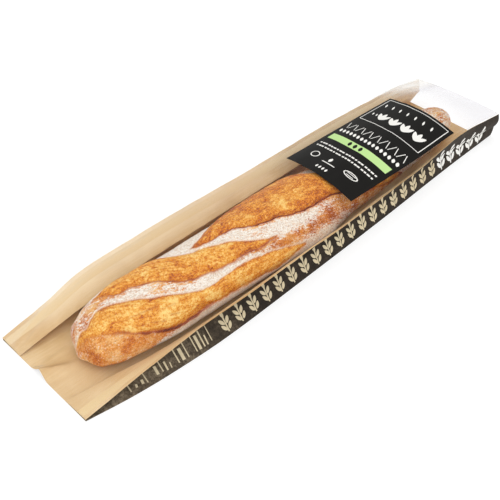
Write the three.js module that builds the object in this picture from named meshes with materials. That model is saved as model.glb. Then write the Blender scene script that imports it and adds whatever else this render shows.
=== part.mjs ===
// A scored baguette lying in its kraft paper bag: the bag has a back panel and two
// folded side gussets of paper, a clear film front, and a label stuck on the film.
// Millimetres, +Z up. X runs along the bag from its closed bottom to its open mouth,
// Y across it, and the origin is the middle of the footprint, on the surface below.
import * as THREE from "three";

// --- driving dimensions -------------------------------------------------------------
const BAG_LENGTH = 566;
const PANEL_LENGTH = 555; // the back panel is cut shorter than the gussets at the mouth
const PAPER = 0.6; // thickness of the paper as a solid
const FILM = 0.5;
const LABEL = 0.4;
const GLUE = 0.4;
const GAP = 0.35; // clearance kept between pieces that lie on each other
const FOOT_Z = PAPER + GAP + PAPER / 2; // middle of the paper at a gusset's foot

const LOAF_START = 31; // distance of the loaf's near tip from the bag's bottom
const LOAF_LENGTH = 507;
const LOAF_SIDES = 32;
const LOAF_STATIONS = 56;

const SEAM_WIDTH = 9; // glue strip that holds the film on each gusset
const SEAM_INSET = 3;
const SEAM_GAP = 0.5; // wider than GAP, because the gusset twists along the bag

const LABEL_FROM = 319; // along the bag
const LABEL_TO = 482;
const LABEL_WIDTH = 86;
const LABEL_MIDDLE = -12.5;
const LABEL_END_BOW = 5; // both end edges bow towards the mouth
const LABEL_GAP = 0.6; // wider than GAP, because the film under it is crowned

// Each profile is a smooth curve through [distance from the bag's bottom, value] points.
const RIGHT_FOOT_Y = [
  [0, -60.5], [40, -66.5], [80, -70], [140, -72], [240, -68.5], [360, -63], [480, -56],
  [566, -52.5],
];
const LEFT_FOOT_Y = [
  [0, 60.5], [40, 55], [80, 51], [140, 48.5], [240, 51], [360, 56], [480, 56], [566, 53.5],
];
const RIGHT_FOLD_Y = [
  [0, -33.5], [40, -41], [80, -51], [120, -55], [240, -56], [360, -55], [480, -50], [566, -49],
];
const LEFT_FOLD_Y = [
  [0, 33.5], [40, 33], [80, 31], [140, 33.5], [240, 35.5], [360, 39], [480, 43], [566, 50],
];
const RIGHT_RIM_Y = [
  [0, -60.5], [40, -63], [80, -66.5], [120, -69], [180, -71], [300, -68], [420, -63], [500, -59],
  [566, -57],
];
const LEFT_RIM_Y = [[0, 60.5], [40, 56], [80, 53], [140, 51], [260, 51.5], [410, 55], [566, 53.5]];
const RIGHT_FOLD_Z = [[0, 2.4], [40, 5], [80, 11], [120, 14], [240, 16], [420, 17], [566, 12]];
const LEFT_FOLD_Z = [[0, 2.4], [40, 9], [80, 18], [140, 21], [360, 21], [480, 18], [566, 12]];
const RIGHT_RIM_Z = [
  [0, 4.6], [40, 12], [80, 22.5], [120, 30], [240, 35.5], [300, 34.5], [420, 36], [490, 40.5],
  [566, 30],
];
const LEFT_RIM_Z = [
  [0, 4.6], [33, 14.5], [80, 33], [140, 39], [200, 40.5], [340, 37.5], [510, 34], [566, 26],
];
const FILM_CROWN_Z = [
  [0, 1.9], [20, 20], [40, 42], [58, 51], [90, 54], [440, 54], [500, 53], [530, 44], [566, 31],
];
const LOAF_HALF_WIDTH = [
  [0, 8], [4, 20], [12, 26], [29, 33], [61, 37], [112, 36], [183, 37], [262, 38.5], [305, 33.5],
  [350, 31.5], [390, 28.5], [430, 26.5], [467, 24], [489, 19.5], [503, 12], [507, 6],
];
const LOAF_HEIGHT = [
  [0, 11], [4, 27], [12, 35], [29, 44], [61, 49.5], [112, 48.5], [183, 49.5], [262, 51],
  [305, 48.5], [350, 46.5], [390, 43], [430, 40], [467, 35.5], [489, 28], [503, 17], [507, 8],
];
const LOAF_MIDDLE_Y = [[0, -10], [150, -13], [300, -13.5], [430, -11], [507, -12]];
const LOAF_TIP_LIFT = 0.3; // how fast the underside lifts where the loaf narrows
const FULL_HALF_WIDTH = 31;

// --- helpers ------------------------------------------------------------------------

// The height at x of a smooth curve through the points, with no overshoot at its ends.
function curveThrough(points) {
  const slope = (i) => {
    const a = points[Math.max(i - 1, 0)];
    const b = points[Math.min(i + 1, points.length - 1)];
    return (b[1] - a[1]) / (b[0] - a[0]);
  };
  return (x) => {
    let i = 0;
    while (i < points.length - 2 && x > points[i + 1][0]) i += 1;
    const [x0, y0] = points[i];
    const [x1, y1] = points[i + 1];
    const span = x1 - x0;
    const t = THREE.MathUtils.clamp((x - x0) / span, 0, 1);
    const s = 1 - t;
    const from = y0 * (1 + 2 * t) * s * s + y1 * (3 - 2 * t) * t * t;
    return from + span * t * s * (slope(i) * s - slope(i + 1) * t);
  };
}

// One closed body from equal loops of points, each loop joined to the next, with both ends
// closed by the given cap triangles. The faces are turned outwards by the volume's sign.
function closedBody(loops, cap) {
  const size = loops[0].length;
  const last = (loops.length - 1) * size;
  const index = [];
  for (let r = 0; r < loops.length - 1; r += 1) {
    for (let j = 0; j < size; j += 1) {
      const a = r * size + j;
      const b = r * size + ((j + 1) % size);
      index.push(a, b, a + size, b, b + size, a + size);
    }
  }
  for (const [a, b, c] of cap) {
    index.push(a, c, b);
    index.push(last + a, last + b, last + c);
  }
  const points = loops.flat();
  let volume = 0;
  for (let i = 0; i < index.length; i += 3) {
    const [a, b, c] = [points[index[i]], points[index[i + 1]], points[index[i + 2]]];
    volume += a.dot(new THREE.Vector3().crossVectors(b, c));
  }
  if (volume < 0) index.reverse();
  const geometry = new THREE.BufferGeometry().setFromPoints(points);
  geometry.setIndex(index);
  geometry.computeVertexNormals();
  return geometry;
}

// The row moved sideways by a distance, square to it in the plane across the bag. Creases
// keep their thickness inside the fold and are rounded off outside it.
function offsetRow(row, distance) {
  const side = (a, b) => new THREE.Vector2(a.z - b.z, b.y - a.y).normalize();
  return row.map((p, j) => {
    const before = side(row[Math.max(j - 1, 0)], row[Math.max(j, 1)]);
    const after = side(row[Math.min(j, row.length - 2)], row[Math.min(j + 1, row.length - 1)]);
    const middle = before.clone().add(after).normalize();
    const insideFold = before.cross(after) * distance > 0;
    const reach = distance / (insideFold ? Math.max(middle.dot(before), 0.035) : 1);
    return new THREE.Vector3(p.x, p.y + middle.x * reach, p.z + middle.y * reach);
  });
}

// A thin closed sheet whose middle surface runs through rows of points.
function thinSheet(rows, thickness) {
  const count = rows[0].length;
  const loops = rows.map((row) => [
    ...offsetRow(row, thickness / 2),
    ...offsetRow(row, -thickness / 2).reverse(),
  ]);
  const cap = [];
  for (let j = 0; j < count - 1; j += 1) {
    const far = 2 * count - 1 - j;
    cap.push([j, j + 1, far - 1], [j, far - 1, far]);
  }
  return closedBody(loops, cap);
}

function mesh(name, geometry, color, roughness) {
  const material = new THREE.MeshStandardMaterial({ color, roughness, metalness: 0 });
  const made = new THREE.Mesh(geometry, material);
  made.name = name;
  return made;
}

const between = (a, b, t) => a + (b - a) * t;
const range = (count) => Array.from({ length: count }, (_, i) => i / (count - 1));

// --- the bag's section --------------------------------------------------------------

const profile = {
  right: {
    footY: curveThrough(RIGHT_FOOT_Y),
    foldY: curveThrough(RIGHT_FOLD_Y),
    rimY: curveThrough(RIGHT_RIM_Y),
    foldZ: curveThrough(RIGHT_FOLD_Z),
    rimZ: curveThrough(RIGHT_RIM_Z),
  },
  left: {
    footY: curveThrough(LEFT_FOOT_Y),
    foldY: curveThrough(LEFT_FOLD_Y),
    rimY: curveThrough(LEFT_RIM_Y),
    foldZ: curveThrough(LEFT_FOLD_Z),
    rimZ: curveThrough(LEFT_RIM_Z),
  },
};
const crownZ = curveThrough(FILM_CROWN_Z);

// The stations are closer together where the bag rises from its flat bottom.
const STATIONS = [0, 10, 20, 30, 40, 50, 60, 72, 86, 100, 120, 145, 175, 210, 250, 290,
  330, 370, 410, 445, 475, 500, 520, 538, PANEL_LENGTH, BAG_LENGTH];

// One gusset at x, from its rim down the upper half to the fold and back out to its foot,
// which stands on the back panel.
function gusset(x, side) {
  const s = profile[side];
  const rim = [s.rimY(x), s.rimZ(x)];
  const fold = [s.foldY(x), s.foldZ(x)];
  const foot = [s.footY(x), FOOT_Z];
  const halfWay = (a, b) => [(a[0] + b[0]) / 2, (a[1] + b[1]) / 2];
  return [rim, halfWay(rim, fold), fold, halfWay(fold, foot), foot];
}

function gussetRow(x, side) {
  const row = gusset(x, side).map(([y, z]) => new THREE.Vector3(x, y, z));
  return side === "right" ? row : row.reverse();
}

// The back panel lies flat between the two folds at the gussets' feet.
function panelRow(x) {
  const footR = profile.right.footY(x);
  const footL = profile.left.footY(x);
  return range(5).map((t) => new THREE.Vector3(x, between(footR, footL, t), PAPER / 2));
}

// The height of the film's middle surface: it arches from rim to rim over the loaf, and at
// the closed bottom it lies down on the gussets and the back panel.
function filmZ(x, y) {
  const { right, left } = profile;
  const top = loafMiddle(x);
  const rimR = right.rimY(x);
  const rimL = left.rimY(x);
  const chord = between(right.rimZ(x), left.rimZ(x), (y - rimR) / (rimL - rimR));
  const reach = y < top ? (top - y) / (top - rimR) : (y - top) / (rimL - top);
  const chordAtTop = between(right.rimZ(x), left.rimZ(x), (top - rimR) / (rimL - rimR));
  const arched = chord + (crownZ(x) - chordAtTop) * (1 - reach * reach);
  const upperHalf = (s, outward) => {
    const t = (y - s.foldY(x)) / (s.rimY(x) - s.foldY(x));
    const paperZ = between(s.foldZ(x), s.rimZ(x), Math.min(t, 1));
    return t > 0 && outward ? paperZ + SEAM_GAP + GLUE : 0;
  };
  const lowest = Math.max(upperHalf(right, y < 0), upperHalf(left, y > 0));
  return Math.max(arched, lowest) + PAPER / 2 + GAP + FILM / 2;
}

const FILM_ACROSS = range(19);

function filmRow(x) {
  const { right, left } = profile;
  return FILM_ACROSS.map((t) => {
    const y = between(right.rimY(x), left.rimY(x), t);
    return new THREE.Vector3(x, y, filmZ(x, y));
  });
}

// A glue strip on the inner face of a gusset's upper half, a little below its rim.
function seamRow(x, side) {
  const [rim, , fold] = gusset(x, side);
  const down = new THREE.Vector2(fold[0] - rim[0], fold[1] - rim[1]).normalize();
  const inward = new THREE.Vector2(-down.y, down.x);
  if (inward.y < 0) inward.negate();
  const lift = PAPER / 2 + SEAM_GAP + GLUE / 2;
  return [SEAM_INSET, SEAM_INSET + SEAM_WIDTH / 2, SEAM_INSET + SEAM_WIDTH].map((d) => {
    const y = rim[0] + down.x * d + inward.x * lift;
    const z = rim[1] + down.y * d + inward.y * lift;
    return new THREE.Vector3(x, y, z);
  });
}

function labelRow(t) {
  return range(15).map((s) => {
    const across = 2 * s - 1;
    const y = LABEL_MIDDLE + (across * LABEL_WIDTH) / 2;
    const x = between(LABEL_FROM, LABEL_TO, t) + LABEL_END_BOW * (1 - across * across);
    return new THREE.Vector3(x, y, filmZ(x, y) + FILM / 2 + LABEL_GAP + LABEL / 2);
  });
}

// --- the loaf -----------------------------------------------------------------------

const halfWidthAt = curveThrough(LOAF_HALF_WIDTH);
const heightAt = curveThrough(LOAF_HEIGHT);
const middleAt = curveThrough(LOAF_MIDDLE_Y);

function loafMiddle(x) {
  return middleAt(THREE.MathUtils.clamp(x - LOAF_START, 0, LOAF_LENGTH));
}

// A rounded section with a flattened base, standing on the back panel; towards the tips it
// gets smaller and its underside lifts.
function loafLoop(t) {
  const along = LOAF_LENGTH * (0.5 - 0.5 * Math.cos(Math.PI * t));
  const half = halfWidthAt(along);
  const height = heightAt(along);
  const base = PAPER + GAP + Math.max(0, FULL_HALF_WIDTH - half) * LOAF_TIP_LIFT;
  return Array.from({ length: LOAF_SIDES }, (_, i) => {
    const turn = (2 * Math.PI * i) / LOAF_SIDES;
    const c = Math.cos(turn);
    const s = Math.sin(turn);
    const across = Math.sign(c) * Math.abs(c) ** 0.85;
    const up = s < 0 ? -0.62 * Math.abs(s) ** 0.7 : s;
    const y = middleAt(along) + half * across;
    return new THREE.Vector3(LOAF_START + along, y, base + (height * (up + 0.62)) / 1.62);
  });
}

function loafBody() {
  const loops = range(LOAF_STATIONS).map(loafLoop);
  const fan = Array.from({ length: LOAF_SIDES - 2 }, (_, i) => [0, i + 1, i + 2]);
  return closedBody(loops, fan);
}

// --- assembly -----------------------------------------------------------------------

const parts = new THREE.Group();
parts.add(mesh("baguette", loafBody(), 0xd08a3c, 0.8));
const panelStations = STATIONS.filter((x) => x <= PANEL_LENGTH);
parts.add(mesh("back_panel", thinSheet(panelStations.map(panelRow), PAPER), 0xdcb985, 0.9));
for (const side of ["left", "right"]) {
  const rows = STATIONS.map((x) => gussetRow(x, side));
  parts.add(mesh(`${side}_gusset`, thinSheet(rows, PAPER), 0xdcb985, 0.9));
}
parts.add(mesh("window_film", thinSheet(STATIONS.map(filmRow), FILM), 0xe8eef0, 0.15));
for (const side of ["left", "right"]) {
  const rows = STATIONS.map((x) => seamRow(x, side));
  parts.add(mesh(`${side}_glue_seam`, thinSheet(rows, GLUE), 0xe6cfa3, 0.4));
}
parts.add(mesh("front_label", thinSheet(range(13).map(labelRow), LABEL), 0x1b1a16, 0.5));

// The origin goes to the middle of the footprint, on the surface the bag lies on.
const box = new THREE.Box3().setFromObject(parts);
parts.position.set(-(box.min.x + box.max.x) / 2, -(box.min.y + box.max.y) / 2, -box.min.z);
const group = new THREE.Group();
group.add(parts);

export default group;
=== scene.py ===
import itertools
import math

import bpy
import numpy as np
from mathutils import Matrix, Vector


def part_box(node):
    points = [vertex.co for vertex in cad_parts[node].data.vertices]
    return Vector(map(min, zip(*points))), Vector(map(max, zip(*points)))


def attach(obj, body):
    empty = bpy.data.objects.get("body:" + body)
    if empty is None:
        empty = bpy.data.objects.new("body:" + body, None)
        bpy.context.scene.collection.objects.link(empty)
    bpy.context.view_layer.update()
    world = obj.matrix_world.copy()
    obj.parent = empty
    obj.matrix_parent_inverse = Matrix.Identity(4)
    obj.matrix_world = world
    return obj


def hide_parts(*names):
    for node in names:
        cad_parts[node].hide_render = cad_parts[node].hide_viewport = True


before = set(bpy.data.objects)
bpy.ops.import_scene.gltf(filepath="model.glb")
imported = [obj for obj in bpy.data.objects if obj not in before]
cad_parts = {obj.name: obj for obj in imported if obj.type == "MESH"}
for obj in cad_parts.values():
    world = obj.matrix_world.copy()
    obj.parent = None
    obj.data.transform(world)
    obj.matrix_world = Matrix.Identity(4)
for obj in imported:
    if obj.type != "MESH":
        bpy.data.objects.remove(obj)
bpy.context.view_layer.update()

# A scored baguette lying in its kraft window bag. Sizes below are millimetres in the bag's
# own frame: x along the bag from its closed bottom, y across it, z up from the table.
# place() turns them into metres in the part's frame.

BAG_BOTTOM_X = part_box("left_gusset")[0].x
PANEL_NEAR_HALF_WIDTH = 60.5
BAG_MIDDLE_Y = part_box("back_panel")[1].y - PANEL_NEAR_HALF_WIDTH / 1000

BAG_LENGTH = 566
PANEL_LENGTH = 555
LOAF_START = 31
LOAF_LENGTH = 507


def place(points):
    return np.asarray(points, float) / 1000 + (BAG_BOTTOM_X, BAG_MIDDLE_Y, 0)


# --- shapes that several pieces share ---


def curve(points):
    """A smooth curve through [distance, value] points, as the solids of the frame use."""
    xs, ys = np.array(points, float).T
    last = len(xs) - 1
    before = np.maximum(np.arange(last + 1) - 1, 0)
    after = np.minimum(np.arange(last + 1) + 1, last)
    slope = (ys[after] - ys[before]) / (xs[after] - xs[before])

    def height(x):
        x = np.asarray(x, float)
        i = np.clip(np.searchsorted(xs, x, side="right") - 1, 0, last - 1)
        span = xs[i + 1] - xs[i]
        t = np.clip((x - xs[i]) / span, 0, 1)
        s = 1 - t
        level = ys[i] * (1 + 2 * t) * s * s + ys[i + 1] * (3 - 2 * t) * t * t
        return level + span * t * s * (slope[i] * s - slope[i + 1] * t)

    return height


def ramp(value, start, end):
    """0 before start and 1 after end, with a soft turn between them."""
    t = np.clip((np.asarray(value, float) - start) / (end - start), 0, 1)
    return t * t * (3 - 2 * t)


def ridge(distance, width):
    """1 on a line and fading to nothing at about twice the width from it."""
    return np.exp(-((distance / width) ** 2))


def lumps(points, size, seed):
    """Even soft lumps from -1 to 1, about size across, the same on every run. Each corner
    of a grid gets a height by mixing its place with large odd numbers."""
    p = np.asarray(points, float) / size + seed * 7.31
    cell = np.floor(p).astype(np.int64)
    f = p - cell
    f = f * f * (3 - 2 * f)
    total = np.zeros(p.shape[:-1])
    for corner in itertools.product((0, 1), repeat=3):
        c = cell + corner
        h = (c[..., 0] * 73856093) ^ (c[..., 1] * 19349663) ^ (c[..., 2] * 83492791)
        h = ((h + seed * 40503) & 0x7FFFFFFF) * 1274126177 & 0x7FFFFFFF
        h = (h ^ (h >> 15)) * 668265263 & 0x7FFFFFFF
        weight = np.prod(np.where(corner, f, 1 - f), axis=-1)
        total += weight * (((h ^ (h >> 13)) & 0xFFFF) / 32767.5 - 1)
    return total


def near_line(x, w, points):
    """Distance from each (x, w) to a line through the points."""
    best = np.full(np.shape(x), 1e9)
    for (ax, aw), (bx, bw) in zip(points, points[1:]):
        dx, dw = bx - ax, bw - aw
        t = np.clip(((x - ax) * dx + (w - aw) * dw) / (dx * dx + dw * dw), 0, 1)
        best = np.minimum(best, np.hypot(x - ax - t * dx, w - aw - t * dw))
    return best


# --- modelling helpers ---


def start(primitive, name, **size):
    """A new piece from a primitive, with nothing else selected."""
    bpy.ops.object.select_all(action="DESELECT")
    primitive(**size)
    piece = bpy.context.object
    piece.name = piece.data.name = name
    bpy.ops.object.transform_apply(location=True, rotation=True, scale=True)
    return piece


def points_of(piece):
    flat = np.empty(len(piece.data.vertices) * 3)
    piece.data.vertices.foreach_get("co", flat)
    return flat.reshape(-1, 3)


def move_points(piece, points):
    piece.data.vertices.foreach_set("co", np.asarray(points, float).ravel())
    piece.data.update()


def write_on(piece, name, values):
    """A named value, or vector, on every point of a piece, for its material to read."""
    values = np.asarray(values, float)
    kind = "FLOAT_VECTOR" if values.ndim == 2 else "FLOAT"
    layer = piece.data.attributes.new(name, kind, "POINT")
    layer.data.foreach_set("vector" if values.ndim == 2 else "value", values.ravel())


def finish_piece(piece, replaced=(), thickness=0, back_material=0, smooth=40):
    """Gives a sheet its thickness, smooths it, hides the parts it stands for, and hangs it on
    the root body.
    """
    bpy.ops.object.select_all(action="DESELECT")
    piece.select_set(True)
    bpy.context.view_layer.objects.active = piece
    if thickness:
        wall = piece.modifiers.new("wall", "SOLIDIFY")
        wall.thickness = thickness / 1000
        wall.offset = 0
        wall.material_offset = back_material
        wall.material_offset_rim = 0
        bpy.ops.object.modifier_apply(modifier=wall.name)
    bpy.ops.object.shade_smooth_by_angle(angle=math.radians(smooth))
    if replaced:
        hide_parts(*replaced)
    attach(piece, "root")


def sheet_piece(name, rows, materials):
    """A grid of paper or film whose points run through rows[along][across]."""
    rows = np.asarray(rows, float)
    along, across = rows.shape[:2]
    piece = start(
        bpy.ops.mesh.primitive_grid_add, name,
        x_subdivisions=along - 1, y_subdivisions=across - 1, size=2,
    )
    flat = points_of(piece)
    i = np.rint((flat[:, 0] + 1) / 2 * (along - 1)).astype(int)
    j = np.rint((flat[:, 1] + 1) / 2 * (across - 1)).astype(int)
    move_points(piece, place(rows[i, j]))
    for material in materials:
        piece.data.materials.append(material)
    return piece, i, j


# --- materials ---


def colour(hexa):
    """An sRGB hex colour as linear RGBA."""
    parts = [int(hexa[k:k + 2], 16) / 255 for k in (1, 3, 5)]
    linear = [c / 12.92 if c <= 0.04045 else ((c + 0.055) / 1.055) ** 2.4 for c in parts]
    return (*linear, 1)


def add(tree, kind, links=None, stops=None, **settings):
    """Adds one shader node with its settings, its colour stops and its links or values."""
    made = tree.nodes.new("ShaderNode" + kind)
    for name, value in settings.items():
        setattr(made, name, value)
    if stops:
        scale = made.color_ramp.elements
        while len(scale) > 1:
            scale.remove(scale[-1])
        for n, (at, shade) in enumerate(stops):
            step = scale[0] if n == 0 else scale.new(at)
            step.position = at
            step.color = colour(shade)
    for socket, value in (links or {}).items():
        if isinstance(value, bpy.types.NodeSocket):
            tree.links.new(value, made.inputs[socket])
        else:
            made.inputs[socket].default_value = value
    return made


def new_material(name):
    made = bpy.data.materials.new(name)
    made.use_nodes = True
    made.node_tree.nodes.clear()
    return made, made.node_tree


FACTOR, FIRST, SECOND, MIXED = 0, 6, 7, 2  # the sockets of a colour Mix node


def baked_crust():
    """Baked wheat crust. Where a score has opened it is golden and finely blistered; the
    old skin is red-brown under dry flour, which lies in specks and streaks."""
    made, tree = new_material("baked_wheat_crust")
    body = add(tree, "TexCoord").outputs["Object"]
    flow = add(tree, "Attribute", attribute_name="flow").outputs["Vector"]
    opening, floury, char, pale, bake = (
        add(tree, "Attribute", attribute_name=name).outputs["Fac"]
        for name in ("opening", "flour", "char", "pale", "bake"))
    soft, streak, patch, vein, freckle, speck, hair, stray = (
        add(tree, "TexNoise", {"Vector": where, "Scale": scale, "Detail": detail,
                               "Roughness": rough, "Distortion": bend}).outputs["Fac"]
        for where, scale, detail, rough, bend in (
            (body, 400, 4, 0.7, 0),  # blisters 2.5 mm across
            (flow, 0.25, 3, 0.55, 0.7),  # streaks 4 mm wide that follow each score
            (body, 72, 3, 0.5, 0),  # patches 14 mm across
            (flow, 0.3, 2, 0.5, 1.1),  # thin wandering lines where the opened crumb tore
            (body, 380, 1, 0.5, 0),  # freckles 2.5 mm across, a few in each handful of crumbs
            (body, 560, 6, 0.85, 0),  # specks of flour 2 mm across and finer
            (flow, 0.8, 3, 0.7, 0.5),  # hair cracks 1 mm wide along the skin
            (body, 760, 2, 0.5, 0),  # stray specks of flour
        ))
    # crumbs: cells 1.2 mm across with uneven edges, each with its own tone, drawn a little
    # coarser than the real ones so they show
    wander = add(tree, "TexNoise", {"Vector": body, "Scale": 900, "Detail": 2})
    bent = add(tree, "VectorMath", {0: wander.outputs["Color"], 1: (0.0016, 0.0016, 0.0016),
                                    2: body}, operation="MULTIPLY_ADD").outputs[0]
    cells = add(tree, "TexVoronoi", {"Vector": bent, "Scale": 840}).outputs["Color"]
    cells = add(tree, "SeparateColor", {0: cells}).outputs[0]
    grain = add(tree, "Math", {0: cells, 1: 0.46, 2: soft},
                operation="MULTIPLY_ADD").outputs[0]
    grain = add(tree, "Math", {0: grain, 1: 0.23}, operation="SUBTRACT").outputs[0]
    speck = add(tree, "Math", {0: cells, 1: 0.32, 2: speck},
                operation="MULTIPLY_ADD").outputs[0]
    # torn veins and freckles both baked darker
    torn = add(tree, "Math", {0: vein, 1: 0.5}, operation="SUBTRACT").outputs[0]
    torn = add(tree, "Math", {0: torn}, operation="ABSOLUTE").outputs[0]
    torn = add(tree, "MapRange", {"Value": torn, "From Max": 0.035, "To Min": -0.1,
                                  "To Max": 0.0}).outputs["Result"]
    freckle = add(tree, "MapRange", {"Value": freckle, "From Min": 0.6, "From Max": 0.72,
                                     "To Max": -0.07}).outputs["Result"]
    torn = add(tree, "Math", {0: torn, 1: freckle}, operation="ADD").outputs[0]
    # each tone is a base with its patterns added by their shares: the golden crumb's, the
    # old skin's, and how much flour there is, whose edge the specks and cracks break up
    tones = []
    for tone, shares in (
        (torn, ((grain, 0.38), (streak, 0.42), (patch, 0.42), (bake, -0.2))),
        (0.06, ((patch, 0.7), (grain, 0.27), (bake, -0.14))),
        (0.1, ((speck, 0.8), (streak, 0.55), (hair, 1.4), (floury, 1.15))),
        (stray, ((patch, 0.35),)),
    ):
        for pattern, share in shares:
            tone = add(tree, "Math", {0: pattern, 1: share, 2: tone},
                       operation="MULTIPLY_ADD").outputs[0]
        tones.append(tone)
    mottle, tan, dusted, stray = tones
    dusted = add(tree, "MapRange", {"Value": dusted, "From Min": 1.92, "From Max": 2.28},
                 interpolation_type="SMOOTHSTEP").outputs["Result"]
    stray = add(tree, "MapRange", {"Value": stray, "From Min": 0.78,
                                   "From Max": 0.9}).outputs["Result"]
    golden, skin, flour, scorch = (
        add(tree, "ValToRGB", {"Fac": tone}, stops=stops).outputs["Color"]
        for tone, stops in (
            # opened crumb: streaks, patches and blisters, darker where it baked longer
            (mottle, [(0.34, "#9C4300"), (0.44, "#C96904"), (0.53, "#E08B1A"),
                      (0.62, "#EFAC42"), (0.74, "#FCD782")]),
            # old skin: smooth orange-brown with a little grain
            (tan, [(0.36, "#AC5216"), (0.46, "#CE7424"), (0.53, "#E1913A"),
                   (0.63, "#EFB974")]),
            (speck, [(0.36, "#CBA98A"), (0.58, "#F0E1CE"), (0.78, "#FDF8EF")]),
            # scorched lines: orange-brown where light, nearly black where the edge burnt
            (char, [(0.0, "#D07A22"), (0.4, "#A84A10"), (0.85, "#4E2108")]),
        ))
    scorched = add(tree, "Math", {0: char, 1: 2.0}, operation="MULTIPLY",
                   use_clamp=True).outputs[0]
    # the hair cracks show brown through the flour
    crack = add(tree, "Math", {0: hair, 1: 0.52}, operation="SUBTRACT").outputs[0]
    crack = add(tree, "Math", {0: crack}, operation="ABSOLUTE").outputs[0]
    crack = add(tree, "MapRange", {"Value": crack, "From Max": 0.03, "To Min": 0.6,
                                   "To Max": 0.0}).outputs["Result"]
    shade = skin
    for amount, over in (
        (stray, colour("#F4DFC6")), (dusted, flour), (crack, colour("#96582C")),
        (opening, golden), (scorched, scorch), (pale, colour("#F5E6D3")),
    ):
        shade = add(tree, "Mix", {FACTOR: amount, FIRST: shade, SECOND: over},
                    data_type="RGBA").outputs[MIXED]
    # flour is matt, and the opened crumb has the soft shine of a baked glaze
    dry = add(tree, "MapRange", {"Value": opening, "To Min": 0.85,
                                 "To Max": 0.52}).outputs["Result"]
    relief = add(tree, "Math", {0: grain, 1: speck}, operation="ADD").outputs[0]
    bump = add(tree, "Bump", {"Height": relief, "Strength": 0.5, "Distance": 0.0009})
    shader = add(tree, "BsdfPrincipled", {
        "Base Color": shade, "Roughness": dry, "IOR": 1.45,
        "Normal": bump.outputs["Normal"]})
    add(tree, "OutputMaterial", {"Surface": shader.outputs[0]})
    return made


def kraft_inside():
    """Unbleached kraft paper, unprinted: pale tan with long soft fibre streaks."""
    made, tree = new_material("kraft_paper_machine_glazed")
    body = add(tree, "TexCoord").outputs["Object"]
    drawn = add(tree, "Mapping", {"Vector": body, "Scale": (0.06, 1, 1)}).outputs["Vector"]
    # fibre streaks 2 mm wide and about 35 mm long, coarser than the real ones so they show
    fibre = add(tree, "TexNoise", {"Vector": drawn, "Scale": 520, "Detail": 5,
                                   "Roughness": 0.6}).outputs["Fac"]
    cloud = add(tree, "TexNoise", {"Vector": body, "Scale": 22, "Detail": 3}).outputs["Fac"]
    tone = add(tree, "Math", {0: fibre, 1: 0.4, 2: cloud},
               operation="MULTIPLY_ADD").outputs[0]
    shade = add(tree, "ValToRGB", {"Fac": tone}, stops=[
        (0.48, "#CCA46C"), (0.7, "#D7B480"), (0.88, "#E4C697")]).outputs["Color"]
    # paler as painted light where one thickness has the light behind it, and darker with
    # painted shade where the buckle is sharply folded
    for name, over in (("backlit", "#F7E6C4"), ("painted_crease_shade", "#A87C46")):
        amount = add(tree, "Attribute", attribute_name=name).outputs["Fac"]
        shade = add(tree, "Mix", {FACTOR: amount, FIRST: shade, SECOND: colour(over)},
                    data_type="RGBA").outputs[MIXED]
    pores = add(tree, "TexNoise", {"Vector": body, "Scale": 900, "Detail": 3}).outputs["Fac"]
    bump = add(tree, "Bump", {"Height": pores, "Strength": 0.12, "Distance": 0.0004})
    shader = add(tree, "BsdfPrincipled", {
        "Base Color": shade, "Roughness": 0.62, "IOR": 1.5,
        "Normal": bump.outputs["Normal"]})
    add(tree, "OutputMaterial", {"Surface": shader.outputs[0]})
    return made


def kraft_printed():
    """The bag's outside: one flood of brown-black ink on uncoated kraft, so it is matt and
    mottled, with the paper showing through in worn clouds."""
    made, tree = new_material("kraft_paper_flexo_printed")
    body = add(tree, "TexCoord").outputs["Object"]
    # clouds about 12 mm across, with a 2.5 mm mottle where the ink is worn
    cloud = add(tree, "TexNoise", {"Vector": body, "Scale": 80, "Detail": 3}).outputs["Fac"]
    fine = add(tree, "TexNoise", {"Vector": body, "Scale": 420, "Detail": 5,
                                  "Roughness": 0.75}).outputs["Fac"]
    worn = add(tree, "Attribute", attribute_name="worn").outputs["Fac"]
    tone = add(tree, "Mix", {0: 0.6, 2: cloud, 3: fine}).outputs[0]
    fresh, faded = (
        add(tree, "ValToRGB", {"Fac": tone}, stops=stops).outputs["Color"] for stops in (
            [(0.36, "#1D1710"), (0.5, "#2C231A"), (0.66, "#453A2E")],
            [(0.36, "#382E23"), (0.5, "#5C4F3E"), (0.66, "#98876F")]))
    shade = add(tree, "Mix", {FACTOR: worn, FIRST: fresh, SECOND: faded},
                data_type="RGBA").outputs[MIXED]
    tooth = add(tree, "TexNoise", {"Vector": body, "Scale": 700, "Detail": 3}).outputs["Fac"]
    bump = add(tree, "Bump", {"Height": tooth, "Strength": 0.15, "Distance": 0.0004})
    shader = add(tree, "BsdfPrincipled", {
        "Base Color": shade, "Roughness": 0.75, "IOR": 1.5, "Specular IOR Level": 0.28,
        "Normal": bump.outputs["Normal"]})
    add(tree, "OutputMaterial", {"Surface": shader.outputs[0]})
    return made


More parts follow.
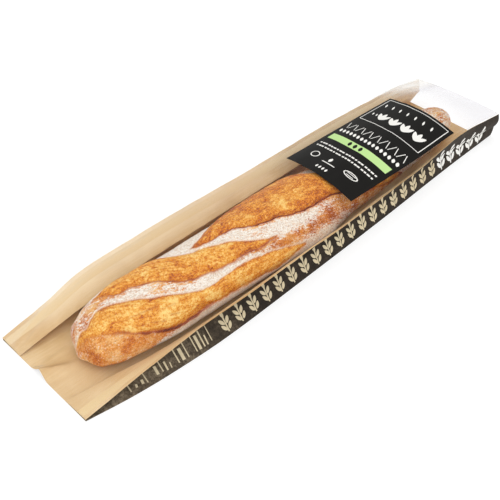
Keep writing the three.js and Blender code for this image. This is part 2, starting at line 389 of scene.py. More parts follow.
def clear_film():
    """Clear polypropylene film: almost nothing but a thin gloss, milky where it is slack near
    the mouth and whitest there over the left gusset as painted glare, with painted highlights
    in pale lines where it is drawn taut beside the loaf."""
    made, tree = new_material("polypropylene_film_cast")
    haze_and_painted_glare = add(tree, "Attribute", attribute_name="haze_and_painted_glare").outputs["Fac"]
    facing = add(tree, "LayerWeight", {"Blend": 0.5}).outputs["Facing"]
    gloss = add(tree, "Math", {0: facing, 1: 4.0}, operation="POWER").outputs[0]
    cover = add(tree, "Math", {0: gloss, 1: 0.2, 2: haze_and_painted_glare}, operation="MULTIPLY_ADD",
                use_clamp=True).outputs[0]
    painted_highlight_beside_loaf = add(tree, "Attribute", attribute_name="painted_highlight_beside_loaf").outputs["Fac"]
    veil = add(tree, "Mix", {FACTOR: painted_highlight_beside_loaf, FIRST: colour("#D6D3DB"),
                             SECOND: colour("#FFFDF8")}, data_type="RGBA").outputs[MIXED]
    shader = add(tree, "BsdfPrincipled", {
        "Base Color": veil, "Roughness": 0.14, "IOR": 1.5})
    see_through = add(tree, "BsdfTransparent")
    mixed = add(tree, "MixShader", {0: cover, 1: see_through.outputs[0],
                                    2: shader.outputs[0]})
    add(tree, "OutputMaterial", {"Surface": mixed.outputs[0]})
    return made


def plain_print(name, hexa, roughness, fleck=0.06):
    """A flat ink or adhesive, with only the faint unevenness of its print."""
    made, tree = new_material(name)
    body = add(tree, "TexCoord").outputs["Object"]
    # flecks 3 mm across
    uneven = add(tree, "TexNoise", {"Vector": body, "Scale": 320, "Detail": 4}).outputs["Fac"]
    amount = add(tree, "Math", {0: uneven, 1: fleck}, operation="MULTIPLY").outputs[0]
    dark = tuple(c * 0.4 for c in colour(hexa)[:3]) + (1,)
    shade = add(tree, "Mix", {FACTOR: amount, FIRST: colour(hexa), SECOND: dark},
                data_type="RGBA").outputs[MIXED]
    shader = add(tree, "BsdfPrincipled", {
        "Base Color": shade, "Roughness": roughness, "IOR": 1.5,
        "Specular IOR Level": 0.16})
    add(tree, "OutputMaterial", {"Surface": shader.outputs[0]})
    return made


# --- the loaf ---

half_width = curve([
    [0, 8], [4, 20], [12, 26], [29, 33], [61, 37], [112, 36], [183, 37], [262, 38.5],
    [305, 33.5], [350, 31.5], [390, 28.5], [430, 26.5], [467, 24], [489, 19.5], [503, 12],
    [507, 6]])
loaf_height = curve([
    [0, 11], [4, 27], [12, 35], [29, 44], [61, 49.5], [112, 48.5], [183, 49.5], [262, 51],
    [305, 48.5], [350, 46.5], [390, 43], [430, 41], [467, 37.5], [489, 32], [503, 21],
    [507, 10]])
loaf_middle = curve([[0, -10], [150, -13], [300, -13.5], [430, -10.5], [507, -8]])

# Each opening is [its lower edge, its upper edge]: [x, distance round the loaf from its
# crest, + to the left].
OPENINGS = [
    [[(32, 2), (40, -9), (48, -15), (58, -24), (68, -32), (80, -41), (95, -49), (110, -52),
      (140, -51), (170, -53), (200, -56), (230, -58), (262, -55)],
     [(32, 6), (38, 3), (43, 1), (50, 4), (57, 6), (66, 3), (74, -2), (84, -8), (98, -17),
      (111, -22), (131, -30), (150, -35), (175, -34), (195, -34), (215, -38), (235, -43),
      (262, -52)]],
    [[(64, 22), (72, 13), (80, 5), (90, 4), (100, 0), (112, -5), (120, -12), (130, -18),
      (142, -22), (160, -25), (180, -27.5), (200, -28), (215, -30), (236, -30)],
     [(64, 24), (80, 26), (105, 24.5), (128, 26), (138, 18), (147, 10), (158, 3), (168, 1),
      (178, -3), (190, -8), (200, -14), (212, -21), (224, -26), (236, -29)]],
    [[(158, 7), (170, 5), (180, 3), (195, 2.5), (205, 1), (215, -5), (227, -10), (240, -13),
      (253, -17), (265, -21), (281, -24), (298, -24), (320, -26), (345, -36), (380, -46),
      (425, -50)],
     [(158, 8), (170, 12), (180, 16), (195, 24), (215, 34), (240, 40), (280, 40), (296, 35),
      (305, 28), (312, 20), (318, 12), (335, 2), (360, -10), (390, -28), (425, -48)]],
    [[(318, 32), (330, 22), (345, 12), (365, 4), (385, -2), (410, -12), (440, -22),
      (470, -30), (505, -34)],
     [(318, 33), (340, 34), (370, 34), (400, 30), (420, 24), (440, 14), (460, 4), (480, -8),
      (505, -30)]],
    [[(436, 33), (450, 24), (463, 14), (474, 6), (486, -2), (492, -5)],
     [(436, 34), (452, 34), (466, 28), (477, 18), (486, 8), (492, -3)]],
]
# How long each opening baked: 0 pale gold, 1 dark.
OPENING_BAKE = [-0.04, 0.14, 0.42, 0.4, 0.3]
# How dark and cracked each opening's lower edge is: [x, amount].
EAR_CHAR = [
    [(32, 0.1), (60, 0.45), (85, 1.0), (125, 0.9), (150, 0.25), (262, 0.2)],
    [(64, 0.3), (100, 0.55), (120, 0.7), (160, 0.35), (205, 0.7), (236, 0.3)],
    [(158, 0.3), (190, 0.6), (215, 0.9), (240, 1.0), (320, 1.0), (350, 0.5), (425, 0.1)],
    [(318, 0.5), (380, 0.4), (505, 0.2)],
    [(436, 0.5), (475, 0.5), (492, 0.2)],
]
# Short cracks in the golden crust, each a line of (x, distance round) with its darkness.
CRACKS = [
    ([(78, -32), (88, -36), (97, -40)], 1.0), ([(68, -20), (84, -24), (97, -26)], 0.7),
    ([(104, -38), (116, -42)], 0.6), ([(58, -8), (70, -14)], 0.4),
    ([(120, -46), (140, -45)], 0.35), ([(96, -30), (112, -32)], 0.4),
    ([(250, 8), (256, 2)], 0.7), ([(268, -6), (276, -12)], 0.8),
    ([(240, 22), (246, 14)], 0.35), ([(262, 24), (272, 20)], 0.4),
    ([(150, -8), (163, -12)], 0.4), ([(190, -22), (206, -24)], 0.5),
    ([(372, 18), (384, 10)], 0.6), ([(420, 4), (430, -4)], 0.6),
    ([(504, 15), (516, 11), (527, 8)], 0.9), ([(506, 7), (517, 4), (530, 2)], 0.8),
    ([(508, -1), (519, -3), (531, -3)], 0.9), ([(509, -10), (524, -9)], 0.7),
    ([(513, 19), (522, 16)], 0.7),
]
# Where flour lies thick or thin: (x, distance round, reach along, reach round, change).
FLOUR_PATCHES = [
    (70, -50, 36, 26, -0.62), (40, -24, 18, 22, -0.6), (112, -52, 10, 7, 0.3),
    (85, -44, 4, 3, 0.5), (93, -60, 5, 4, 0.6), (60, -52, 6, 4, 0.2),
    (150, -60, 50, 9, 0.45), (210, -64, 50, 9, 0.3), (255, -42, 30, 8, -0.45),
    (236, -36, 14, 5, -0.2), (296, -44, 16, 9, -0.25), (322, -36, 22, 14, -0.4),
    (286, -32, 24, 5, 0.05), (262, -27, 30, 6, 0.12), (345, -20, 30, 14, -0.3),
    (150, -29, 18, 6, 0.35), (170, -30, 20, 6, 0.4), (200, 12, 26, 16, 0.4),
    (40, 18, 16, 26, -0.18), (60, 12, 12, 5, -0.35), (106, -12, 8, 6, -0.2),
    (160, 18, 20, 14, 0.3), (350, 20, 30, 20, -0.3), (400, -30, 40, 16, -0.3),
    (365, -50, 40, 15, -0.4), (520, 10, 22, 40, -0.3), (180, -68, 90, 10, 0.5),
    (280, 66, 300, 18, -0.28),
]
SKIN_INSET = 1.5  # the loaf's skin lies this far inside its solid, so the openings can rise
UNDERSIDE = 0.62  # depth of the loaf below its widest line, over its height above it


def loaf_piece():
    """A long sphere is drawn out into the loaf, then its scores are opened and baked."""
    # a multiple of four around, so that each point of the sphere is a whole step round
    rings, around, tip_rings, tip_length = 500, 184, 26, 9
    loaf = start(bpy.ops.mesh.primitive_uv_sphere_add, "scored_baguette",
                 segments=around, ring_count=rings, radius=1)
    ball = points_of(loaf)
    i = np.rint(np.arccos(np.clip(ball[:, 2], -1, 1)) / np.pi * rings).astype(int)
    # counted clockwise, so that the faces still point out with its poles laid along x
    j = np.rint(-np.arctan2(ball[:, 1], ball[:, 0]) / (2 * np.pi) * around).astype(int) % around

    step = np.arange(rings + 1)
    inner = (step - tip_rings) / (rings - 2 * tip_rings)
    along = tip_length + (LOAF_LENGTH - 2 * tip_length) * inner
    along[:tip_rings] = tip_length * (step[:tip_rings] / tip_rings) ** 2
    along[-tip_rings:] = LOAF_LENGTH - along[:tip_rings][::-1]
    from_tip = np.minimum(along, LOAF_LENGTH - along)
    rounding = np.sqrt(1 - (1 - np.clip(from_tip / tip_length, 0, 1)) ** 2)
    half = np.maximum(half_width(along), 14) * rounding
    height = np.maximum(loaf_height(along), 19) * rounding
    base = 0.7 + np.maximum(0, 31 - half) * 0.3

    # the ring's angles crowd towards the crest, where the scores are
    off_crest = np.arange(around) / around * 2 * np.pi - np.pi / 2
    off_crest = (off_crest + np.pi) % (2 * np.pi) - np.pi
    turn = np.pi / 2 + off_crest - 0.28 * np.sin(off_crest)
    crest = 270  # half-way round the finer ring on which distances are measured
    fine = np.linspace(-np.pi / 2, 1.5 * np.pi, 2 * crest + 1)

    def section(angle):
        c, s = np.cos(angle), np.sin(angle)
        side = np.sign(c) * np.abs(c) ** 0.85
        up = np.where(s < 0, -UNDERSIDE * np.abs(s) ** 0.7, s)
        y = loaf_middle(along)[:, None] + half[:, None] * side
        z = base[:, None] + height[:, None] * (up + UNDERSIDE) / (1 + UNDERSIDE)
        # its right flank has settled against the gusset
        settled = ramp(along, 40, 90) * (1 - ramp(along, 250, 310))
        y = y - 3.8 * settled[:, None] * np.clip(-c, 0, 1) ** 1.5 * ridge(z - 11, 11)
        return y, z

    fy, fz = section(fine)
    run = np.cumsum(np.hypot(np.diff(fy, axis=1), np.diff(fz, axis=1)), axis=1)
    run = np.concatenate([np.zeros((rings + 1, 1)), run], axis=1)
    run = run[:, [crest]] - run
    y, z = section(turn)
    angle = (turn + np.pi / 2) % (2 * np.pi) - np.pi / 2
    w = np.array([np.interp(angle, fine, run[k]) for k in range(rings + 1)])
    x = np.repeat(LOAF_START + along[:, None], around, axis=1)
    shape = np.stack([x, y, z], axis=-1)

    out = np.cross(np.roll(shape, -1, 1) - np.roll(shape, 1, 1), np.gradient(shape, axis=0))
    out = out / np.maximum(np.linalg.norm(out, axis=-1, keepdims=True), 1e-9)
    pole = (rounding < 0.02)[:, None, None]
    end = np.where(along < LOAF_LENGTH / 2, -1.0, 1.0)[:, None, None] * np.array([1.0, 0, 0])
    out = np.where(pole, end, out)

    ragged = 0.9 * lumps(shape, 7, 3) + 0.5 * lumps(shape, 2.6, 4)
    top = ramp(z, 6, 16)
    lift = np.full(w.shape, -SKIN_INSET)
    opening, char, pale, bake, rim = (np.zeros(w.shape) for _ in range(5))
    flow_w = w + 0.3 * x
    for number, (low, high) in enumerate(OPENINGS):
        low_edge, high_edge = curve(low), curve(high)
        low_w, high_w = low_edge(x), high_edge(x)
        low_slope = (low_edge(x + 2) - low_edge(x - 2)) / 4
        high_slope = (high_edge(x + 2) - high_edge(x - 2)) / 4
        above = (w - low_w) / np.sqrt(1 + low_slope ** 2) + ragged
        below = (high_w - w) / np.sqrt(1 + high_slope ** 2) + 0.7 * ragged
        ends = np.minimum(x - low[0][0], low[-1][0] - x)
        inside = np.minimum(np.minimum(above, below), ends)
        width = np.clip(high_w - low_w, 1, 60)
        here = ramp(inside, -0.5, 0.6)
        nearby = ramp(ends, -4, 3)
        # the opened crumb swells to 3 mm
        dome = 1 - (1 - np.clip(inside / np.minimum(width * 0.5, 9), 0, 1)) ** 2
        lift += here * dome * 3.1 * np.clip(width / 20, 0, 1)
        darkness = np.interp(x, *np.array(EAR_CHAR[number]).T)
        broken = 0.65 + 0.35 * lumps(shape, 5, 20 + number)
        # the lower edge curls up into an ear over a groove, and the upper one is a low lip
        ear = ridge(above + 1.1, 1.2) * nearby * ramp(below, -1, 3)
        lift += ear * (0.6 + 1.3 * darkness) * broken
        lift -= ridge(above - 1.6, 1.1) * nearby * here * (0.7 + 0.9 * darkness)
        lift += 0.5 * ridge(below + 1.0, 1.4) * nearby * ramp(above, -1, 3)
        lift -= 0.5 * ridge(below - 0.9, 0.9) * nearby * here
        # both edges burnt, and the skin outside the upper one tore pale
        burnt = ridge(above + 0.1, 1.2) * nearby * ramp(below, -1, 2)
        burnt = np.maximum(burnt, 0.5 * ridge(below - 0.3, 0.8) * nearby * ramp(above, 0, 3))
        char = np.maximum(char, burnt * darkness * np.clip(broken + 0.2, 0, 1))
        pale = np.maximum(pale, ridge(below + 0.6, 0.55) * nearby * ramp(above, 0, 3) * 0.75)
        rim = np.maximum(rim, ridge(above + 1.8, 1.6) * nearby * (0.5 + 0.5 * broken))
        opening = np.maximum(opening, here)
        # the crumb baked deeper by its edges and its ends
        deeper = 0.5 * ridge(above, 2.8) + 0.3 * ridge(below, 3)
        deeper = deeper + (0.3 if number > 1 else -0.1) * ridge(ends, 14)
        bake = np.where(here > 0.5, OPENING_BAKE[number] + deeper, bake)
        flow_w = np.where(here > 0.5, w - (low_w + high_w) / 2, flow_w)
    # flour cakes in a pale strip low on the right flank, painted paler still as painted light,
    # so it reads lit though it lies in the loaf's shade
    caked_flour_and_painted_light = ridge(w + 62 + 1.5 * ragged, 7) * ramp(x, 96, 130) * (1 - ramp(x, 235, 280))
    pale = np.maximum(pale, 0.6 * caked_flour_and_painted_light * (1 - opening))
    # the skin left between the second and third scores baked reddest
    bake = np.where(opening < 0.5, 0.9 * ridge(w + 42 - 0.12 * (x - 296), 13)
                    * ridge(x - 305, 38), bake)
    # the third score baked darker on its upper side
    bake += 0.6 * ridge(w - 32, 13) * ridge(x - 230, 50)
    bake -= 0.35 * ridge(w + 4, 10) * ridge(x - 262, 36)
    # the far tip is thin, and baked to a plain golden brown
    bake -= 0.6 * ramp(x, 496, 520) * (1 - opening)
    for line, darkness in CRACKS:
        gap = near_line(x, w, line) + 1.5 * np.abs(lumps(shape, 5, 50)) + 0.5 * ragged
        char = np.maximum(char, ridge(gap, 1.1) * darkness * 0.5)
        lift -= 0.8 * ridge(gap, 1.4) * darkness

    flour = 0.62 - 0.3 * rim
    for at_x, at_w, reach_x, reach_w, change in FLOUR_PATCHES:
        flour = flour + change * np.exp(
            -((x - at_x) / reach_x) ** 2 - ((w - at_w) / reach_w) ** 2)
    flour = flour + 0.12 * lumps(shape, 18, 9)
    flour = np.clip(flour * ramp(z, 0, 9), 0.05, 1)

    # distances along and across each score, drawn out so that the streaks run along it
    flow = np.stack([x / 4.5, flow_w, np.zeros_like(w)], axis=-1)
    lift += 0.5 * lumps(shape, 26, 5) + 0.3 * lumps(shape, 11, 6)
    lift += 0.3 * lumps(flow, 2.6, 7) * opening + 0.22 * lumps(shape, 3.2, 8)
    lift = -SKIN_INSET + (lift + SKIN_INSET) * top
    shape = shape + out * (lift * np.clip(half / 12, 0.15, 1)[:, None])[..., None]
    shape[..., 2] = np.maximum(shape[..., 2], 0.55)
    for tip in (0, -1):
        shape[tip] = shape[tip].mean(0)
    move_points(loaf, place(shape[i, j]))
    for name, values in (("opening", opening), ("flour", flour), ("char", char),
                         ("pale", pale), ("bake", bake), ("flow", flow)):
        write_on(loaf, name, values[i, j])
    loaf.data.materials.append(baked_crust())
    finish_piece(loaf, ["baguette"], smooth=180)
    return shape


loaf_shape = loaf_piece()

# --- the bag ---

right_foot_y = curve([
    [0, -60.5], [40, -66.5], [80, -70], [140, -72], [240, -68.5], [360, -63], [480, -56],
    [566, -52.5]])
left_foot_y = curve([
    [0, 60.5], [40, 55], [80, 51], [140, 48.5], [240, 51], [360, 56], [480, 56],
    [566, 53.5]])
right_fold_y = curve([
    [0, -33.5], [40, -41], [80, -51], [120, -55], [240, -56], [360, -55], [480, -51],
    [566, -54]])
left_fold_y = curve([
    [0, 33.5], [40, 33], [80, 31], [140, 33.5], [240, 35.5], [360, 39], [480, 43],
    [566, 50]])
right_rim_y = curve([
    [0, -60.5], [40, -63], [80, -66.5], [120, -69], [180, -71], [300, -68], [420, -63],
    [500, -59], [566, -57]])
left_rim_y = curve([
    [0, 60.5], [40, 56], [80, 53], [140, 51], [260, 51.5], [410, 55], [566, 53.5]])
right_fold_z = curve([[0, 1.2], [40, 5], [80, 11], [120, 14], [240, 16], [420, 17], [566, 12]])
left_fold_z = curve([[0, 1.2], [40, 9], [80, 18], [140, 21], [360, 21], [480, 18], [566, 12]])
right_rim_z = curve([
    [0, 2.2], [40, 12], [80, 22.5], [120, 30], [240, 35.5], [300, 34.5], [420, 36],
    [490, 40.5], [566, 30]])
left_rim_z = curve([
    [0, 2.2], [33, 14.5], [80, 33], [140, 39], [200, 40.5], [340, 37.5], [510, 34],
    [566, 26]])
film_crown_z = curve([
    [0, 1.9], [20, 20], [40, 42], [58, 51], [90, 54], [440, 54], [500, 53], [530, 44],
    [566, 31]])
PAPER_Z = 0.2
PAPER_THICKNESS, FILM_THICKNESS, GLUE_THICKNESS = 0.25, 0.08, 0.1
LABEL_THICKNESS, INK_THICKNESS = 0.14, 0.04
# The paper's grid: 14 steps up each leg of a gusset and 60 across the floor. Its columns
# run from the right rim over the right foot and the left foot to the left rim.
LEG_STEPS, FLOOR_STEPS = 14, 60
RIGHT_FOOT = 2 * LEG_STEPS
LEFT_FOOT = RIGHT_FOOT + FLOOR_STEPS
LEFT_RIM = LEFT_FOOT + 2 * LEG_STEPS
FILM_STEPS = 96
bag_x = np.concatenate([np.arange(0, 120, 1.5), np.arange(120, BAG_LENGTH, 2), [BAG_LENGTH]])


def beside_buckle(x, y):
    """How far a point of the floor lies to the left of the buckle's top."""
    return y - (2.5 - 0.36 * x + 0.002 * x * x)


def buckle(x, y):
    """How far the bag's bottom edge has buckled up under the loaf's tip: a fold that is
    steep on its right side and runs out towards the loaf."""
    side = beside_buckle(x, y)
    across = np.where(side > 0, np.clip(1 - side / 17, 0, 1) ** 1.8,
                      np.clip(1 + side / 9, 0, 1) ** 1.3)
    return 10.5 * across * (1 - ramp(x, -14, 42)) / (1 - ramp(0, -14, 42))


def paper_sheet():
    """One sheet of kraft, folded round: right gusset, back panel, left gusset."""
    t = np.linspace(0, 1, LEG_STEPS + 1)
    x = bag_x[:, None]

    def leg(ay, az, by, bz, bow):
        line_y = ay(x) + (by(x) - ay(x)) * t + bow * np.sin(np.pi * t)
        return np.stack([line_y, az(x) + (bz(x) - az(x)) * t])

    def ground(v):
        return np.full(np.shape(v), PAPER_Z)

    flare = 1.3 * ramp(x, 90, 200) + 1.2 * ramp(x, 310, 360) - 5.5 * ramp(x, 430, 550)
    s = np.linspace(0, 1, FLOOR_STEPS + 1)
    floor_y = right_foot_y(x) + (left_foot_y(x) - right_foot_y(x)) * s
    legs = [leg(right_rim_y, right_rim_z, right_fold_y, right_fold_z, flare),
            leg(right_fold_y, right_fold_z, right_foot_y, ground, -0.3),
            np.stack([floor_y, ground(floor_y)]),
            leg(left_foot_y, ground, left_fold_y, left_fold_z, 0.3),
            leg(left_fold_y, left_fold_z, left_rim_y, left_rim_z, 0.6)]
    y, z = np.concatenate(legs[:1] + [part[..., 1:] for part in legs[1:]], axis=2)
    column = np.arange(LEFT_RIM + 1)
    # the cut at the mouth: the back panel is shorter than the gussets beside it
    floor = np.where((column >= RIGHT_FOOT) & (column <= LEFT_FOOT), 1.0, 0.0)
    back = floor.copy()
    back[RIGHT_FOOT:RIGHT_FOOT + 3] = (0, 0.4, 0.8)
    back[LEFT_FOOT:LEFT_FOOT + LEG_STEPS + 1] = np.linspace(1, 0, LEG_STEPS + 1)
    px = x - (BAG_LENGTH - PANEL_LENGTH) * back * ramp(x, 480, BAG_LENGTH)

    spot = np.stack([np.broadcast_to(px, y.shape), y, z], axis=-1)
    wave = 0.45 * lumps(spot / (4, 1, 1), 16, 31) + 0.22 * lumps(spot / (2, 1, 1), 7, 32)
    free = np.clip(z / 12, 0, 1) * (1 - floor)
    spot[..., 1] += wave * free * 1.2
    spot[..., 2] += wave * free * 0.5
    inner = np.sin(np.pi * np.clip((column - RIGHT_FOOT) / FLOOR_STEPS, 0, 1))
    on_floor = floor * inner ** 0.5
    spot[..., 2] += np.abs(wave) * on_floor * 0.9 * (0.4 + 0.6 * ramp(x, 0, 30))
    spot[..., 2] += buckle(px, y) * on_floor
    materials = [kraft_inside(), kraft_printed()]
    piece, i, j = sheet_piece("kraft_bag", spot, materials)
    # the ink is worn thin towards the bag's bottom
    worn = 1 - ramp(spot[..., 0], 30, 210)
    # the left gusset's upper leg, most of all near the bag's bottom, and the floor there
    backlit = 0.55 * ramp(column, LEFT_FOOT + LEG_STEPS - 2, LEFT_RIM - 5)
    backlit = backlit * ramp(x, 10, 50) * (1 - 0.8 * ramp(x, 200, 320))
    backlit = backlit + 0.18 * (1 - ramp(px, 25, 70)) * (1 - ramp(y, -8, 4))
    # painted shade: the buckle's far slope is sharply folded, and is painted a little darker
    # there and along a second crease beside it, where shade falls in the folds
    painted_crease_shade = ridge(beside_buckle(px, y) - 3.2, 2.6) * ramp(x, 0, 7) * (1 - ramp(x, 16, 36))
    painted_crease_shade = painted_crease_shade + 0.6 * ridge(beside_buckle(px, y) - 13 - 0.3 * x, 1.2) * (
        ramp(x, 6, 16) * (1 - ramp(x, 26, 40)))
    painted_crease_shade = 0.55 * painted_crease_shade * on_floor
    for name, values in (("worn", worn), ("backlit", backlit), ("painted_crease_shade", painted_crease_shade)):
        write_on(piece, name, values[i, j])
    finish_piece(piece, ["back_panel", "left_gusset", "right_gusset"],
                 PAPER_THICKNESS, back_material=1, smooth=50)
    return spot


def loaf_top():
    """The loaf's height above the table on a 2 mm grid, for the film to lie on."""
    cell, rows, columns, right_side = 2.0, 300, 80, -80
    grid = np.zeros((rows, columns))

    def cell_at(x, y):
        return (np.clip((x / cell).astype(int), 0, rows - 1),
                np.clip(((y - right_side) / cell).astype(int), 0, columns - 1))

    flat = loaf_shape.reshape(-1, 3)
    np.maximum.at(grid, cell_at(flat[:, 0], flat[:, 1]), flat[:, 2])
    for axis in (0, 1):
        grid = np.maximum(grid, np.maximum(np.roll(grid, 1, axis), np.roll(grid, -1, axis)))
    return lambda x, y: grid[cell_at(x, y)]


top_of_loaf = loaf_top()


def film_height(x, y):
    """The clear front: an arch from rim to rim that lies on the loaf, and at the closed
    bottom comes down on the gussets."""
    top = loaf_middle(np.clip(x - LOAF_START, 0, LOAF_LENGTH))
    rr, rl = right_rim_y(x), left_rim_y(x)
    zr, zl = right_rim_z(x), left_rim_z(x)
    chord = zr + (zl - zr) * (y - rr) / (rl - rr)
    chord_top = zr + (zl - zr) * (top - rr) / (rl - rr)
    reach = np.where(y < top, (top - y) / (top - rr), (y - top) / (rl - top))
    arch = chord + (film_crown_z(x) - chord_top) * (1 - reach ** 2)
    gap = 0.9  # clear of the paper under it

    def paper(fold_y, fold_z, rim_y, rim_z, outward):
        t = (y - fold_y(x)) / (rim_y(x) - fold_y(x))
        level = fold_z(x) + (rim_z(x) - fold_z(x)) * np.minimum(t, 1)
        return np.where((t > 0) & outward, level + gap, 0)

    lowest = np.maximum(paper(right_fold_y, right_fold_z, right_rim_y, right_rim_z, y < 0),
                        paper(left_fold_y, left_fold_z, left_rim_y, left_rim_z, y > 0))
    lowest = np.maximum(lowest, PAPER_Z + gap + 0.3 + 1.1 * buckle(x, y))
    return np.maximum(arch, lowest) + 0.6


def film_sheet():
    across = np.linspace(0, 1, FILM_STEPS + 1)
    x = np.broadcast_to(bag_x[:, None], (len(bag_x), len(across)))
    y = right_rim_y(x) + (left_rim_y(x) - right_rim_y(x)) * across
    z = film_height(x, y)
    spot = np.stack([x, y, z], axis=-1)
    slack = np.sin(np.pi * across)
    z = z + slack * (0.35 * lumps(spot * (0.5, 1.6, 0), 22, 41)
                     + 0.2 * lumps(spot * (0.35, 1, 0), 6, 42))
    z = np.maximum(z, top_of_loaf(x, y) + 0.35)
    for _ in range(2):  # smoothed twice each way
        z[1:-1] = (z[:-2] + 2 * z[1:-1] + z[2:]) / 4
        z[:, 1:-1] = (z[:, :-2] + 2 * z[:, 1:-1] + z[:, 2:]) / 4
    z = np.maximum(z, top_of_loaf(x, y) + 0.25)
    spot = np.stack([x, y, z], axis=-1)
    piece, i, j = sheet_piece("clear_film_front", spot, [clear_film()])
    left = ramp(y, 8, 40)
    crinkle = np.clip(0.75 + 0.6 * lumps(spot * (0.25, 1.6, 0), 9, 43), 0, 1.4)
    # painted glare: whitest over the left gusset near the mouth, in its crinkles
    haze_and_painted_glare = 0.008 + 0.2 * ramp(x, 480, 545) + 0.45 * left * ramp(x, 465, 552) * crinkle
    # painted highlights: beside the loaf it is drawn taut in long creases, painted whiter where
    # they would catch the light
    beside = ramp(y, 18, 44)
    glint_reach = 1 - 0.6 * ramp(x, 220, 320)
    haze_and_painted_glare += beside * glint_reach * (0.02 + 0.1 * np.clip(crinkle - 0.7, 0, 1))
    write_on(piece, "haze_and_painted_glare", haze_and_painted_glare[i, j])
    write_on(piece, "painted_highlight_beside_loaf", beside[i, j])
    finish_piece(piece, ["window_film"], FILM_THICKNESS, smooth=180)
    return spot


paper = paper_sheet()
film = film_sheet()


def row_at(x):
    """The row of a sheet's grid, with its fraction, at a distance along the bag."""
    return np.interp(x, bag_x, np.arange(len(bag_x)))


def read_between(grid, row, column):
    """What a grid of points or heights holds between its rows and columns."""
    a = np.floor(row).astype(int).clip(0, grid.shape[0] - 2)
    b = np.floor(column).astype(int).clip(0, grid.shape[1] - 2)
    u, v = row - a, column - b
    if grid.ndim == 3:
        u, v = u[..., None], v[..., None]
    return (grid[a, b] * (1 - u) * (1 - v) + grid[a + 1, b] * u * (1 - v)
            + grid[a, b + 1] * (1 - u) * v + grid[a + 1, b + 1] * u * v)


def on_gusset(side, face=1):
    """Points on a gusset: distance along the bag, distance up the paper from its foot
    (below 0: down from its rim), and lift off its printed face, or off its inside."""
    steps = np.arange(2 * LEG_STEPS + 1)
    middle = paper[:, RIGHT_FOOT - steps if side == "right" else LEFT_FOOT + steps]
    out = np.cross(np.gradient(middle, axis=0), np.gradient(middle, axis=1))
    out /= np.linalg.norm(out, axis=-1, keepdims=True) * (face if side == "right" else -face)
    step = np.linalg.norm(np.diff(middle, axis=1), axis=-1)
    height = np.concatenate([np.zeros((len(middle), 1)), np.cumsum(step, axis=1)], axis=1)

    def spot(x, up, lift):
        x, up = np.broadcast_arrays(np.asarray(x, float), np.asarray(up, float))
        row = row_at(x)
        a = np.floor(row).astype(int).clip(0, len(bag_x) - 2)
        full = height[a, -1] * (1 - row + a) + height[a + 1, -1] * (row - a)
        up = np.where(up < 0, full + up, up)
        column = np.array([np.interp(v, height[k], steps)
                           for k, v in zip(a.ravel(), up.ravel())]).reshape(x.shape)
        return (read_between(middle, row, column)
                + read_between(out, row, column) * np.asarray(lift, float)[..., None])

    return spot


def glue_strip(side):
    """The heat-sealed strip a little below a rim, where the film is stuck to the gusset."""
    across = np.linspace(0, 1, 9)
    down = 3.5 + 8 * across
    lift = 0.2 + 0.12 * np.sin(np.pi * across)
    rows = on_gusset(side, -1)(bag_x[::3][:, None], -down, lift)
    piece, _, _ = sheet_piece(f"{side}_sealed_strip", rows, [GLUE])
    finish_piece(piece, [f"{side}_glue_seam"], GLUE_THICKNESS)


GLUE = plain_print("hot_melt_adhesive", "#E6CB9C", 0.5)
glue_strip("right")
glue_strip("left")

# --- the label ---

LABEL_FROM, LABEL_TO = 319, 482
LABEL_MIDDLE, LABEL_HALF = -12.5, 43
LABEL_BOW_NEAR, LABEL_BOW_FAR = -3.8, -5


def film_at(x, y):
    """Height of the finished film, read back from its grid."""
    column = (y - right_rim_y(x)) / (left_rim_y(x) - right_rim_y(x)) * FILM_STEPS
    return read_between(film[..., 2], row_at(x), column)


def on_label(along, across, lift):
    """A point of the label: along 0 to 163 mm, across -43 to 43 mm, lifted off the film."""
    along, across = np.broadcast_arrays(np.asarray(along, float), np.asarray(across, float))
    bow = LABEL_BOW_NEAR + (LABEL_BOW_FAR - LABEL_BOW_NEAR) * along / (LABEL_TO - LABEL_FROM)
    bow = bow * (1 - (across / LABEL_HALF) ** 2)
    x = LABEL_FROM + along + bow
    y = LABEL_MIDDLE + across
    return np.stack([x, y, film_at(x, y) + lift], axis=-1)


LABEL_BLACK = plain_print("coated_label_paper_black_ink", "#0F0D0A", 0.55)


def label_sheet():
    along = np.linspace(0, LABEL_TO - LABEL_FROM, 110)[:, None]
    across = np.linspace(-LABEL_HALF, LABEL_HALF, 61)[None, :]
    piece, _, _ = sheet_piece("front_label_sheet", on_label(along, across, 0.3),
                              [LABEL_BLACK])
    finish_piece(piece, ["front_label"], LABEL_THICKNESS)


label_sheet()

WHITE_INK = plain_print("white_ink", "#F2F0EA", 0.5)
GREEN_INK = plain_print("pale_green_ink", "#BFE295", 0.5)
CREAM_INK = plain_print("cream_ink_on_kraft", "#E6D5B0", 0.65, fleck=0.5)


def join(pieces, name):
    bpy.ops.object.select_all(action="DESELECT")
    for piece in pieces:
        piece.select_set(True)
    bpy.context.view_layer.objects.active = pieces[0]
    bpy.ops.object.join()
    pieces[0].name = pieces[0].data.name = name
    return pieces[0]


def stroke(surface, material, ends, width, lift):
    """A straight printed line between two points of a surface."""
    a, b = np.array(ends, float)
    length = np.hypot(*(b - a))
    side = np.array([a[1] - b[1], b[0] - a[0]]) / length * width / 2
    u = np.linspace(0, 1, max(2, int(length / 2) + 1))[:, None, None]
    flat = a * (1 - u) + b * u + np.stack([-side, side])
    piece, _, _ = sheet_piece("stroke", surface(flat[..., 0], flat[..., 1], lift), [material])
    return piece


def grain_shape(surface, material, centre, length, width, angle, lift):
    """One printed grain of wheat: a pointed oval."""
    s = np.linspace(-0.96, 0.96, 11)[:, None]
    side = np.array([-1, 0, 1])[None, :]
    across = side * width / 2 * np.cos(s * np.pi / 2) ** 0.7
    along = np.broadcast_to(s * length / 2, across.shape)
    c, n = math.cos(angle), math.sin(angle)
    px = centre[0] + along * c - across * n
    py = centre[1] + along * n + across * c
    rows = surface(px, py, lift)
    piece, _, _ = sheet_piece("grain", rows, [material])
    return piece


